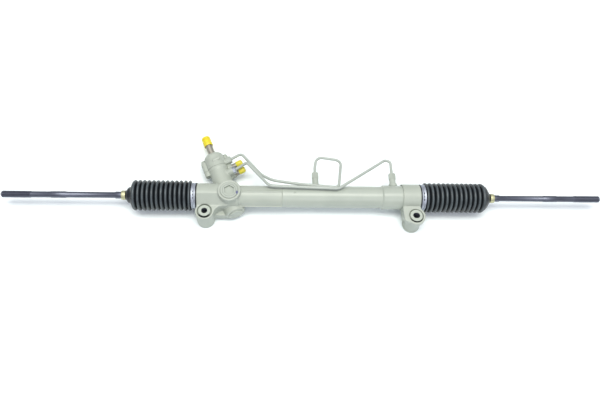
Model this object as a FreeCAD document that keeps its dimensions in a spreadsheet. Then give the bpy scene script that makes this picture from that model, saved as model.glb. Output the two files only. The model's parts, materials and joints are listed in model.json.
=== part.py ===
import FreeCAD, Part
import math
import os

import Sketcher

# Power steering rack: a rotary-valve rack and pinion gear with its inner tie rods.
# X runs along the rack, Y points away from the mounting bolts, Z points up.
# The origin is the left mounting bolt's axis on the seating face.

doc = FreeCAD.newDocument("steering_rack")
os.makedirs("parts", exist_ok=True)

Vector = FreeCAD.Vector
RIGHT = Vector(1, 0, 0)
LEFT = Vector(-1, 0, 0)
REAR = Vector(0, 1, 0)
UP = Vector(0, 0, 1)

# Driving dimensions in millimetres and degrees

DIMENSIONS = [
    ("bolt_spacing", 435.0, "distance between the mounting bolts along the rack"),
    ("left_offset", 37.5, "left bolt to rack axis, across the rack"),
    ("right_offset", 46.5, "right bolt to rack axis, across the rack"),
    ("rack_height", 38.5, "rack axis above the seating faces"),
    ("left_ear_rise", 9.0, "top of the left ear above the rack axis"),
    ("right_ear_rise", 12.0, "top of the right ear above the rack axis"),
    ("bolt_hole", 6.15, "radius of the hole for a mounting bolt"),
    ("slot_length", 14.5, "end to end length of the right bolt slot"),
    ("bush_radius", 15.0, "outer radius of a mounting bush"),
    ("ear_radius", 18.8, "outer radius of a mounting ear"),
    ("rack_radius", 12.5, "radius of the rack bar"),
    ("half_travel", 72.0, "rack travel each side of centre"),
    ("rack_shift", 6.0, "rack bar stands this far right of centre"),
    ("tooth_module", 2.0, "module of the pinion across its axis"),
    ("tooth_count", 7.0, "teeth on the pinion"),
    ("pressure_angle", 25.0, "pressure angle of the teeth"),
    ("profile_shift", 0.3, "profile shift of the pinion in modules"),
    ("backlash", 0.1, "play between rack and pinion teeth"),
    ("pitch_depth", 8.2, "rolling line below the rack axis"),
    ("skew_angle", 21.5, "pinion axis turned from square to the rack"),
    ("pinion_inset", 49.5, "pinion crosses the rack this far inside the left bolt"),
    ("left_overhang", 16.5, "left end of the visible housing beyond the left bolt"),
    ("right_overhang", 11.5, "right end of the visible housing beyond the right bolt"),
    ("spigot_length", 12.5, "length of a bellows seat"),
    ("tunnel_radius", 25.9, "housing radius round the rack at the pinion"),
    ("neck_radius", 22.0, "casting radius between pinion and cylinder"),
    ("casting_end", 60.0, "end of the casting, left of centre"),
    ("tube_radius", 22.8, "outer radius of the cylinder tube"),
    ("bore_radius", 20.3, "bore of the cylinder tube"),
    ("sleeve_radius", 25.3, "thick end of the cylinder tube"),
    ("sleeve_length", 79.0, "length of the thick end up to the housing's right end"),
    ("bracket_radius", 28.2, "outer radius of the right bracket's collar"),
    ("bracket_width", 37.0, "length of the right bracket's collar"),
    ("tower_radius", 20.6, "outer radius of the pinion tower"),
    ("valve_radius", 22.0, "outer radius of the valve housing"),
    ("valve_bore", 14.5, "bore for the valve sleeve"),
    ("valve_joint", 76.0, "joint face of the valve housing from the rack"),
    ("valve_end", 110.0, "top of the valve housing from the rack"),
    ("yoke_radius", 15.0, "bore for the rack yoke"),
    ("boss_radius", 23.2, "outer radius of the yoke boss"),
    ("boss_rise", 29.0, "top of the yoke boss above the rack axis"),
    ("chamber_left", 10.5, "left cylinder port, right of centre"),
    ("chamber_inset", 53.0, "right cylinder port inside the housing's right end"),
    ("port_tilt", 20.0, "ports of the valve tower lean up by this angle"),
    ("valve_line_along", 83.0, "valve housing line port from the rack"),
    ("tower_line_along", 54.0, "tower line port from the rack"),
    ("feed_along", 68.5, "feed port from the rack"),
    ("return_along", 52.5, "return port from the rack"),
    ("pipe_radius", 3.0, "outer radius of a cylinder line"),
    ("ball_radius", 12.5, "radius of an inner ball"),
    ("socket_radius", 18.5, "outer radius of a ball socket"),
    ("socket_depth", 24.0, "ball centre from the socket's stop face"),
    ("rod_length", 287.0, "ball centre to rod tip"),
    ("rod_radius", 6.1, "radius of the tie rod shank"),
    ("thread_radius", 7.0, "radius of the tie rod thread"),
    ("thread_length", 57.0, "length of the tie rod thread"),
    ("crest_radius", 31.4, "outer radius of the bellows"),
    ("valley_radius", 25.4, "radius between two bellows crests"),
    ("bellows_wall", 1.3, "wall of a bellows"),
    ("running_gap", 0.05, "radial clearance of a moving fit"),
]

sheet = doc.addObject("Spreadsheet::Sheet", "Dimensions")
for row, (alias, number, meaning) in enumerate(DIMENSIONS, start=1):
    sheet.set("A%d" % row, meaning)
    sheet.set("B%d" % row, str(number))
    sheet.setAlias("B%d" % row, alias)
doc.recompute()


class Size:
    """A length that keeps the sheet formula it comes from."""

    def __init__(self, value, text):
        self.value = value
        self.text = text

    def _with(self, sign, other, flip=False):
        first, second = (as_size(other), self) if flip else (self, as_size(other))
        values = {
            "+": first.value + second.value,
            "-": first.value - second.value,
            "*": first.value * second.value,
        }
        return Size(values[sign], "(%s %s %s)" % (first.text, sign, second.text))

    def __add__(self, other):
        return self._with("+", other)

    def __radd__(self, other):
        return self._with("+", other, True)

    def __sub__(self, other):
        return self._with("-", other)

    def __rsub__(self, other):
        return self._with("-", other, True)

    def __mul__(self, other):
        return self._with("*", other)

    def __rmul__(self, other):
        return self._with("*", other, True)

    def __neg__(self):
        return Size(-self.value, "(0 - %s)" % self.text)


def as_size(number):
    return number if isinstance(number, Size) else Size(float(number), "%.6f" % number)


def val(number):
    return as_size(number).value


D = {}
for alias, number, meaning in DIMENSIONS:
    D[alias] = Size(float(sheet.get(alias)), "Dimensions." + alias)

# Reference points

SKEW = math.radians(val(D["skew_angle"]))
ALONG = Vector(-math.sin(SKEW), math.cos(SKEW), 0)
ACROSS = Vector(math.cos(SKEW), math.sin(SKEW), 0)
PITCH_RADIUS = D["tooth_module"] * D["tooth_count"] * 0.5
PINION_DROP = D["pitch_depth"] + PITCH_RADIUS
TILT = math.radians(val(D["port_tilt"]))
LEAN = ACROSS * math.cos(TILT) + UP * math.sin(TILT)
LINE_FACE = 29.5
UNION_FACE = 33.0
LUG_OFFSET = 23.5
LUG_RISE = 22
INPUT_RADIUS = 7.5
LEFT_FACE = 0.5 * D["bolt_spacing"] + D["left_overhang"]
RIGHT_FACE = 0.5 * D["bolt_spacing"] + D["right_overhang"]
PINION_OFFSET = 0.5 * D["bolt_spacing"] - D["pinion_inset"]
SLEEVE_START = RIGHT_FACE - D["sleeve_length"]
CHAMBER_RIGHT = RIGHT_FACE - D["chamber_inset"]
CHAMBERS = (("chamber_left", D["chamber_left"]), ("chamber_right", CHAMBER_RIGHT))

# Height of each valve tower port over the pinion axis, before its lean

PORTS = {
    "valve_line": (D["valve_line_along"], 0, LINE_FACE),
    "tower_line": (D["tower_line_along"], 5, LINE_FACE),
    "feed": (D["feed_along"], -9, UNION_FACE),
    "return": (D["return_along"], -11, UNION_FACE),
}
GAP = D["running_gap"]
SEAT = -D["rack_height"]
BALL_LEFT = -(LEFT_FACE + D["spigot_length"] + D["half_travel"] + D["socket_depth"]) + D["rack_shift"]
BALL_RIGHT = RIGHT_FACE + D["spigot_length"] + D["half_travel"] + D["socket_depth"] + D["rack_shift"]


def at(x, y, z):
    """A point from the rack axis midway between the bolts."""
    centre = Vector(val(D["bolt_spacing"]) / 2, val(D["left_offset"]), val(D["rack_height"]))
    return centre + Vector(val(x), val(y), val(z))


def tower(along, across, rise):
    """A point from the pinion axis where it passes under the rack."""
    foot = at(-PINION_OFFSET, 0, -PINION_DROP)
    return foot + ALONG * val(along) + ACROSS * val(across) + UP * val(rise)


def port_point(port, distance):
    """A point on the axis of one of the leaning ports of the valve tower."""
    along, rise, face = PORTS[port]
    return tower(along, 0, rise) + LEAN * val(distance)


# Building blocks


def bind(thing, prop, number):
    number = as_size(number)
    setattr(thing, prop, number.value)
    if "Dimensions" in number.text:
        thing.setExpression(prop, number.text)


def place(thing, start, direction, from_axis=UP):
    thing.Placement = FreeCAD.Placement(start, FreeCAD.Rotation(from_axis, direction))
    return thing


def cylinder(name, radius, length, start, direction):
    made = doc.addObject("Part::Cylinder", name)
    bind(made, "Radius", radius)
    bind(made, "Height", length)
    return place(made, start, direction)


def cone(name, radius, end_radius, length, start, direction):
    made = doc.addObject("Part::Cone", name)
    bind(made, "Radius1", radius)
    bind(made, "Radius2", end_radius)
    bind(made, "Height", length)
    return place(made, start, direction)


def sphere(name, radius, centre):
    made = doc.addObject("Part::Sphere", name)
    bind(made, "Radius", radius)
    return place(made, centre, RIGHT)


def hexagon(name, flats, length, start, direction, turn=0.0):
    made = doc.addObject("Part::Prism", name)
    made.Polygon = 6
    bind(made, "Circumradius", flats * (1 / math.sqrt(3)))
    bind(made, "Height", length)
    made.Placement = FreeCAD.Placement(start, FreeCAD.Rotation(UP, direction) * FreeCAD.Rotation(UP, turn))
    return made


def box(name, length, width, height, corner, turn=0.0):
    made = doc.addObject("Part::Box", name)
    bind(made, "Length", length)
    bind(made, "Width", width)
    bind(made, "Height", height)
    made.Placement = FreeCAD.Placement(corner, FreeCAD.Rotation(UP, turn))
    return made


def fuse(name, parts):
    made = doc.addObject("Part::MultiFuse", name)
    made.Shapes = parts
    made.Refine = True
    return made


def common(name, parts):
    made = doc.addObject("Part::MultiCommon", name)
    made.Shapes = parts
    return made


def cut(name, base, tools):
    made = doc.addObject("Part::Cut", name)
    made.Base = base
    made.Tool = tools[0] if len(tools) == 1 else fuse(name + "_cutters", tools)
    return made


def feature(name, shape):
    made = doc.addObject("Part::Feature", name)
    made.Shape = shape
    return made


def turned(name, outline, start, direction):
    """A lathe-turned body: corners are (distance along, radius)."""
    body = doc.addObject("PartDesign::Body", name)
    sketch = body.newObject("Sketcher::SketchObject", name + "_outline")
    planes = [f for f in body.Origin.OriginFeatures if f.Role == "XY_Plane"]
    sketch.AttachmentSupport = [(planes[0], "")]
    sketch.MapMode = "FlatFace"
    corners = [(as_size(a), as_size(r)) for a, r in outline]
    points = [Vector(a.value, r.value, 0) for a, r in corners]
    for number, point in enumerate(points):
        following = points[(number + 1) % len(points)]
        sketch.addGeometry(Part.LineSegment(point, following), False)
    for number in range(len(points)):
        sketch.addConstraint(Sketcher.Constraint("Coincident", number, 2, (number + 1) % len(points), 1))
    for number, (distance, radius) in enumerate(corners):
        for kind, wanted, axis in (("DistanceX", distance, -2), ("DistanceY", radius, -1)):
            if abs(wanted.value) < 1e-9:
                sketch.addConstraint(Sketcher.Constraint("PointOnObject", number, 1, axis))
                continue
            index = sketch.addConstraint(Sketcher.Constraint(kind, -1, 1, number, 1, wanted.value))
            if "Dimensions" in wanted.text:
                sketch.setExpression("Constraints[%d]" % index, wanted.text)
    turn = body.newObject("PartDesign::Revolution", name + "_turn")
    turn.Profile = sketch
    turn.ReferenceAxis = (sketch, ["H_Axis"])
    turn.Angle = 360
    body.Tip = turn
    return place(body, start, direction, RIGHT)


def ring(name, outer, inner, length, start, direction):
    corners = [(0, inner), (length, inner), (length, outer), (0, outer)]
    return turned(name, corners, start, direction)


def polygon_face(points):
    return Part.Face(Part.makePolygon(points + [points[0]]))


NODES = {}


def keep(node, thing):
    thing.Label = node
    NODES[node] = thing
    return thing


# Gear housing: rack tunnel, yoke boss, pinion tower, left ear and web


def facet_line(x):
    """Upper and lower end of the sloping facet between tunnel and left ear."""
    tunnel = val(D["tunnel_radius"])
    crease = 5.5
    upper = at(x, -crease, math.sqrt(tunnel * tunnel - crease * crease))
    lower = at(x, 13 - val(D["left_offset"]), D["left_ear_rise"])
    return upper, lower


def facet_cutter(left, right):
    """What the facet takes off the round tunnel."""
    upper, lower = facet_line(left)
    face = polygon_face([upper, lower, lower + UP * 30, upper + UP * 14])
    return face.extrude(RIGHT * (right - left))


def left_web():
    """Web under the facet, with a concave wall between ear and tower."""
    left = -val(LEFT_FACE)
    ear = val(D["ear_radius"])
    offset = -val(D["left_offset"])
    bolt_x = -val(D["bolt_spacing"]) / 2
    right = -val(PINION_OFFSET) - 4.5
    lowest = -24.0
    upper, lower = facet_line(left)
    profile = [
        at(left, 0, 20),
        upper,
        lower,
        at(left, offset, D["left_ear_rise"]),
        at(left, offset, lowest),
        at(left, 0, lowest),
    ]
    slab = polygon_face(profile).extrude(RIGHT * (right - left))
    scoop_radius = 18.6
    scoop_x = bolt_x + ear + scoop_radius - 0.9
    scoop_y = offset - 7
    scoop = Part.makeCylinder(scoop_radius, 80, at(scoop_x, scoop_y, lowest - 2), UP)
    beyond = Part.makeBox(40, 40, 80, at(scoop_x, scoop_y + scoop_radius - 40, lowest - 2))
    return slab.cut(scoop.fuse(beyond))


def gear_housing():
    left, spigot = LEFT_FACE, D["spigot_length"]
    tunnel, neck = D["tunnel_radius"], D["neck_radius"]
    shoulder, taper, overlap = PINION_OFFSET - 17, 3, 18
    bolt_x = -0.5 * D["bolt_spacing"]
    yoke_x = -PINION_OFFSET
    ear_height = D["rack_height"] + D["left_ear_rise"]
    base = D["tower_radius"]
    joint = D["valve_joint"]
    foot = 36
    facet = facet_cutter(-val(left), -val(PINION_OFFSET) - 4.5)
    neck_length = shoulder - taper - D["casting_end"]
    solids = [
        cut("housing_tunnel", cylinder("housing_round", tunnel, left - shoulder, at(-left, 0, 0), RIGHT),
            [feature("housing_facet", facet)]),
        cone("housing_taper", tunnel, neck, taper, at(-shoulder, 0, 0), RIGHT),
        cylinder("housing_neck", neck, neck_length, at(taper - shoulder, 0, 0), RIGHT),
        cylinder("housing_socket", D["bore_radius"], overlap, at(-D["casting_end"], 0, 0), RIGHT),
        cylinder("housing_spigot", tunnel - 1.9, spigot, at(-(left + spigot), 0, 0), RIGHT),
        cylinder("housing_yoke_boss", D["boss_radius"], D["boss_rise"], at(yoke_x, 0, 0), UP),
        cylinder("housing_tower", base, joint + foot - 1.5, tower(1.5 - foot, 0, 0), ALONG),
        cylinder("housing_foot", base - 1.2, 3, tower(-foot, 0, 0), ALONG),
        cylinder("housing_flange", D["valve_radius"], 7, tower(joint - 7, 0, 0), ALONG),
        cylinder("housing_ear", D["ear_radius"], ear_height, at(bolt_x, -D["left_offset"], SEAT), UP),
        box("housing_low_rib", 40, 20, 18, at(bolt_x + 12, -37, SEAT + 4.5), 0),
        feature("housing_web", left_web()),
        cylinder("housing_line_boss", 8, LINE_FACE, port_point("tower_line", 0), LEAN),
        cylinder("housing_feed_boss", 7.4, UNION_FACE, port_point("feed", 0), LEAN),
        cylinder("housing_return_boss", 8.4, UNION_FACE, port_point("return", 0), LEAN),
    ]
    rib, proud = 2.2, 1.0
    for name, width, height, corner in (
        ("top", rib, 4, at(taper - shoulder, -rib / 2, neck + proud - 4)),
        ("low", rib, 4, at(taper - shoulder, -rib / 2, -neck - proud)),
        ("front", 4, rib, at(taper - shoulder, -neck - proud, -rib / 2)),
        ("rear", 4, rib, at(taper - shoulder, neck + proud - 4, -rib / 2)),
    ):
        solids.append(box("housing_rib_" + name, neck_length - 0.3, width, height, corner, 0))
    for side, name in ((-1, "left"), (1, "right")):
        solids.append(cylinder("housing_%s_lug" % name, 7, 12, tower(joint - 12, side * LUG_OFFSET, 0), ALONG))
    body = fuse("gear_housing_cast", solids)
    bore = D["rack_radius"] + 2
    holes = [
        cylinder("housing_rack_bore", bore, left + spigot - D["casting_end"] + overlap + 2,
                 at(-(left + spigot) - 1, 0, 0), RIGHT),
        cylinder("housing_yoke_bore", D["yoke_radius"], D["boss_rise"] + 1, at(yoke_x, 0, 0), UP),
        cylinder("housing_lock_nut_recess", 18.2, 4, at(yoke_x, 0, D["boss_rise"] - 3.4), UP),
        cylinder("housing_pinion_bore", 10.4, 60, tower(-20, 0, 0), ALONG),
        cylinder("housing_bearing_bore", 13.5, foot - 14, tower(-foot - 1, 0, 0), ALONG),
        cylinder("housing_bush_bore", 13, joint, tower(16, 0, 0), ALONG),
        cylinder("housing_valve_bore", D["valve_bore"], joint - 40 + 1, tower(40, 0, 0), ALONG),
        cylinder("housing_bush_hole", D["bush_radius"], ear_height + 2, at(bolt_x, -D["left_offset"], SEAT - 1), UP),
        cylinder("housing_line_port", 3, 40, port_point("tower_line", 0), LEAN),
        cylinder("housing_feed_port", 4, 40, port_point("feed", 0), LEAN),
        cylinder("housing_return_port", 4, 40, port_point("return", 0), LEAN),
    ]
    for side, name in ((-1, "left"), (1, "right")):
        holes.append(cylinder("housing_%s_bolt_hole" % name, 3, 12, tower(joint - 9, side * LUG_OFFSET, 0), ALONG))
    keep("gear_housing", cut("gear_housing", body, holes))


def valve_housing():
    joint, end = D["valve_joint"], D["valve_end"]
    outer = D["valve_radius"]
    bearing_seat = 98
    solids = [
        turned("valve_casting", [
            (0, 0),
            (end - joint, 0),
            (end - joint, 16),
            (end - joint - 2, 18.6),
            (end - joint - 5, outer - 1),
            (end - joint - 8, outer),
            (0, outer),
        ], tower(joint, 0, 0), ALONG),
        cylinder("valve_line_boss", 7, LINE_FACE, port_point("valve_line", 0), LEAN),
        box("valve_pad", 16, 6, 8, tower(84.5, -6, val(outer) - 7), val(D["skew_angle"]) + 8),
    ]
    for side, name in ((-1, "left"), (1, "right")):
        solids.append(cylinder("valve_%s_lug" % name, 7, LUG_RISE, tower(joint, side * LUG_OFFSET, 0), ALONG))
    holes = [
        cylinder("valve_main_bore", D["valve_bore"], bearing_seat - joint + 1, tower(joint - 1, 0, 0), ALONG),
        cylinder("valve_bearing_bore", 12, 40, tower(joint, 0, 0), ALONG),
        cylinder("valve_line_port", 3, 40, port_point("valve_line", 0), LEAN),
        box("valve_pad_groove", 10, 1.6, 2, tower(86.5, -2.5, val(outer) + 0.4), val(D["skew_angle"]) + 8),
    ]
    for side, name in ((-1, "left"), (1, "right")):
        holes.append(cylinder("valve_%s_bolt_hole" % name, 3, LUG_RISE + 2, tower(joint - 1, side * LUG_OFFSET, 0), ALONG))
        holes.append(cylinder("valve_%s_spot_face" % name, 6.6, 15, tower(joint + LUG_RISE, side * LUG_OFFSET, 0), ALONG))
    keep("valve_housing", cut("valve_housing", fuse("valve_housing_cast", solids), holes))


def valve_bolts():
    bolts = []
    grip = LUG_RISE + 8.5
    for side, name in ((-1, "left"), (1, "right")):
        under_head = D["valve_joint"] + LUG_RISE
        shank = cylinder("valve_bolt_%s_shank" % name, 2.95, grip, tower(under_head - grip, side * LUG_OFFSET, 0), ALONG)
        head = hexagon("valve_bolt_%s_head" % name, 10, 5, tower(under_head, side * LUG_OFFSET, 0), ALONG)
        bolts.append(fuse("valve_bolt_" + name, [shank, head]))
    group = doc.addObject("Part::Compound", "valve_bolts")
    group.Links = bolts
    keep("valve_bolts", group)


# Cylinder tube, its ports and the right bracket


def cylinder_tube():
    start, thick = D["casting_end"], SLEEVE_START
    end = RIGHT_FACE + D["spigot_length"]
    spigot = D["sleeve_radius"] - 0.3
    tube = turned("tube_wall", [
        (0, D["bore_radius"]),
        (start + end, D["bore_radius"]),
        (start + end, spigot),
        (start + RIGHT_FACE, spigot),
        (start + RIGHT_FACE, D["sleeve_radius"]),
        (start + thick + 1.5, D["sleeve_radius"]),
        (start + thick - 1.5, D["tube_radius"]),
        (0, D["tube_radius"]),
    ], at(-start, 0, 0), RIGHT)
    ports = []
    for port, x in CHAMBERS:
        ports.append(cylinder("tube_hole_" + port, 3, 30, at(x, 0, 6), REAR))
    keep("cylinder_tube", cut("cylinder_tube", tube, ports))


def tube_ports():
    """The two saddle bosses brazed to the tube, one for each chamber."""
    made = []
    for (port, x), outer in zip(CHAMBERS, (D["tube_radius"], D["sleeve_radius"])):
        stem = cylinder(port + "_stem", 6.6, 46 - 18, at(x, 18, 6), REAR)
        foot = cylinder(port + "_foot", 8.8, outer + 2.5 - 18, at(x, 18, 6), REAR)
        tools = [
            cylinder(port + "_saddle", outer, 40, at(x - 20, 0, 0), RIGHT),
            cylinder(port + "_bore", 3, 40, at(x, 10, 6), REAR),
        ]
        made.append(cut(port + "_boss", fuse(port + "_solid", [stem, foot]), tools))
    group = doc.addObject("Part::Compound", "tube_ports")
    group.Links = made
    keep("tube_ports", group)


def mount_bracket():
    """Right bracket: collar round the tube, flat top plate and bush barrel."""
    width, collar = D["bracket_width"], D["bracket_radius"]
    start = RIGHT_FACE - width
    bolt_x, bolt_y = 0.5 * D["bolt_spacing"], -D["right_offset"]
    rise, plate = D["right_ear_rise"], 10
    height = D["rack_height"] + rise
    tail = [
        cylinder("bracket_collar", collar, width, at(start, 0, 0), RIGHT),
        box("bracket_plate", width, D["right_offset"] - 16, plate, at(start, bolt_y, rise - plate), 0),
        box("bracket_rib", width - 4, D["right_offset"] - 16, 22, at(start + 2, bolt_y, rise - plate - 22), 0),
        cylinder("bracket_plate_end", D["ear_radius"] + 0.7, plate, at(bolt_x, bolt_y, rise - plate), UP),
        cylinder("bracket_barrel", D["ear_radius"] - 1.5, height, at(bolt_x, bolt_y, SEAT), UP),
        cylinder("bracket_foot", D["ear_radius"], 5, at(bolt_x, bolt_y, SEAT), UP),
        cylinder("bracket_corner", 10, plate, at(start + 10, bolt_y - 4, rise - plate), UP),
    ]
    tools = [
        cylinder("bracket_bore", D["sleeve_radius"], width + 2, at(start - 1, 0, 0), RIGHT),
        cylinder("bracket_bush_hole", D["bush_radius"], height + 2, at(bolt_x, bolt_y, SEAT - 1), UP),
    ]
    keep("mount_bracket", cut("mount_bracket", fuse("mount_bracket_solid", tail), tools))


def mounting_bushes():
    inner = 9.5
    proud = 1.5
    for side, sign, offset, rise, head in (
        ("left", -0.5, D["left_offset"], D["left_ear_rise"], 12.0),
        ("right", 0.5, D["right_offset"], D["right_ear_rise"], 12.8),
    ):
        x = sign * D["bolt_spacing"]
        full = D["rack_height"] + rise
        rubber = turned(side + "_bush_rubber", [
            (3, inner),
            (full + proud - 0.7, inner),
            (full + proud - 0.7, head),
            (full - 3.5, D["bush_radius"]),
            (3, D["bush_radius"]),
        ], at(x, -offset, SEAT), UP)
        keep(side + "_bush_rubber", rubber)
        sleeve = turned(side + "_bush_turned", [
            (0, 0),
            (full + proud, 0),
            (full + proud, head - 0.4),
            (full + proud - 0.4, head),
            (full + proud - 0.7, head),
            (full + proud - 0.7, inner),
            (0, inner),
        ], at(x, -offset, SEAT), UP)
        holes = [cylinder(side + "_bolt_hole", D["bolt_hole"], full + proud + 2, at(x, -offset, SEAT - 1), UP)]
        if side == "right":
            reach = D["slot_length"] * 0.5 - D["bolt_hole"]
            for end, way in (("near", -1), ("far", 1)):
                holes.append(cylinder("slot_" + end, D["bolt_hole"], full + proud + 2,
                                      at(x + way * reach, -offset, SEAT - 1), UP))
            holes.append(box("slot_middle", reach * 2, D["bolt_hole"] * 2, full + proud + 2,
                             at(x - reach, -offset - D["bolt_hole"], SEAT - 1), 0))
        keep(side + "_bush_sleeve", cut(side + "_bush_sleeve", sleeve, holes))


# Rack yoke, its liner, disc springs, plug and lock nut


def yoke_group():
    x = -PINION_OFFSET
    bore = D["yoke_radius"]
    liner_outer = D["rack_radius"] + 1.6
    yoke = cylinder("yoke_slug", bore - GAP, 13, at(x, 0, 5), UP)
    saddle = cylinder("yoke_saddle", liner_outer, 60, at(x - 30, 0, 0), RIGHT)
    keep("rack_yoke", cut("rack_yoke", yoke, [saddle]))
    shell = cut("yoke_liner_shell", cylinder("yoke_liner_outer", liner_outer, 24, at(x - 12, 0, 0), RIGHT),
                [cylinder("yoke_liner_inner", D["rack_radius"] + GAP, 26, at(x - 13, 0, 0), RIGHT)])
    patch = cylinder("yoke_liner_patch", bore - 3, 14, at(x, 0, 5), UP)
    keep("yoke_liner", common("yoke_liner", [shell, patch]))
    spring = turned("yoke_springs", [
        (0, 11.5),
        (1.8, 5.5),
        (3.6, 11.5),
        (4.6, 11.5),
        (2.8, 5.0),
        (1.0, 5.0),
        (-0.6, 11.0),
    ], at(x, 0, 18.7), UP)
    keep("yoke_springs", spring)
    plug_base = 23.5
    top = D["boss_rise"] + 0.3
    nut_base = D["boss_rise"] - 3.3
    plug = turned("yoke_plug_turned", [
        (0, 0),
        (top - plug_base, 0),
        (top - plug_base, 13.2),
        (top - plug_base - 0.6, 13.8),
        (nut_base - plug_base - 0.1, 13.8),
        (nut_base - plug_base - 0.3, bore - 0.02),
        (0, bore - 0.02),
    ], at(x, 0, plug_base), UP)
    recess = hexagon("yoke_plug_hex", 19.6, 8, at(x, 0, top - 3), UP, 30.0)
    keep("yoke_plug", cut("yoke_plug", plug, [recess]))
    keep("yoke_lock_nut", ring("yoke_lock_nut", 17.9, 13.9, 3.5, at(x, 0, nut_base), UP))


# Rack bar and what is fixed to it


def rack_tooth_gaps():
    """Prisms along the pinion axis that leave the straight rack teeth."""
    module = val(D["tooth_module"])
    slope = math.tan(math.radians(val(D["pressure_angle"])))
    pitch = math.pi * module
    datum = val(D["profile_shift"]) * module + val(PITCH_RADIUS)
    tip, root = datum - 0.9 * module, datum + module
    width = pitch / 2 + val(D["backlash"])
    cosine = math.cos(SKEW)
    travel, shift = val(D["half_travel"]), val(D["rack_shift"])
    first = -int((travel + shift + 8) * cosine / pitch) - 1
    last = int((travel - shift + 8) * cosine / pitch) + 1
    below = tip - 6
    reach = (val(D["rack_radius"]) + (travel + shift + 4 * pitch) * math.sin(SKEW)) / cosine
    gaps = []
    for number in range(first - 1, last + 2):
        middle = -number * pitch
        half_root = width / 2 - (root - datum) * slope
        half_low = width / 2 + (datum - below) * slope
        face = polygon_face([
            tower(-reach, middle - half_root, root),
            tower(-reach, middle + half_root, root),
            tower(-reach, middle + half_low, below),
            tower(-reach, middle - half_low, below),
        ])
        gaps.append(face.extrude(ALONG * (2 * reach)))
    low, high = (first - 1.5) * pitch, (last + 1.5) * pitch
    flat = polygon_face([
        tower(-reach, -high, tip),
        tower(-reach, -low, tip),
        tower(-reach, -low, below - 6),
        tower(-reach, -high, below - 6),
    ])
    return [flat.extrude(ALONG * (2 * reach))] + gaps


def rack_bar():
    stop_left = BALL_LEFT + D["socket_depth"]
    stop_right = BALL_RIGHT - D["socket_depth"]
    bar = cylinder("rack_round", D["rack_radius"], stop_right - stop_left, at(stop_left, 0, 0), RIGHT)
    tools = []
    for number, shape in enumerate(rack_tooth_gaps()):
        tools.append(feature("rack_gap_%d" % number, shape))
    tools.append(cylinder("rack_left_thread", 7, 22, at(stop_left - 0.5, 0, 0), RIGHT))
    tools.append(cylinder("rack_right_thread", 7, 22, at(stop_right + 0.5, 0, 0), LEFT))
    keep("rack_bar", cut("rack_bar", bar, tools))


def piston_group():
    middle = 0.5 * (D["chamber_left"] + CHAMBER_RIGHT) + D["rack_shift"]
    land, groove = D["bore_radius"] - 0.6, D["bore_radius"] - 3
    piston = turned("piston", [
        (0, D["rack_radius"]),
        (13, D["rack_radius"]),
        (13, land),
        (9, land),
        (9, groove),
        (4, groove),
        (4, land),
        (0, land),
    ], at(middle - 6.5, 0, 0), RIGHT)
    keep("piston", piston)
    keep("piston_seal", ring("piston_seal", D["bore_radius"] - GAP, groove, 4.8, at(middle - 2.4, 0, 0), RIGHT))


def rack_guides():
    bore = D["rack_radius"] + GAP
    outer = D["bore_radius"]
    keep("inner_rack_bush", ring("inner_rack_bush", outer, bore, 12, at(-D["casting_end"] + 20, 0, 0), RIGHT))
    keep("inner_rack_seal", ring("inner_rack_seal", outer, bore, 6, at(-D["casting_end"] + 33, 0, 0), RIGHT))
    end = RIGHT_FACE + D["spigot_length"]
    keep("outer_rack_seal", ring("outer_rack_seal", outer, bore, 6, at(CHAMBER_RIGHT + 6, 0, 0), RIGHT))
    keep("rack_end_bush", ring("rack_end_bush", outer, bore, end - CHAMBER_RIGHT - 14,
                               at(CHAMBER_RIGHT + 14, 0, 0), RIGHT))


# Inner ball joints and tie rods


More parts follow.
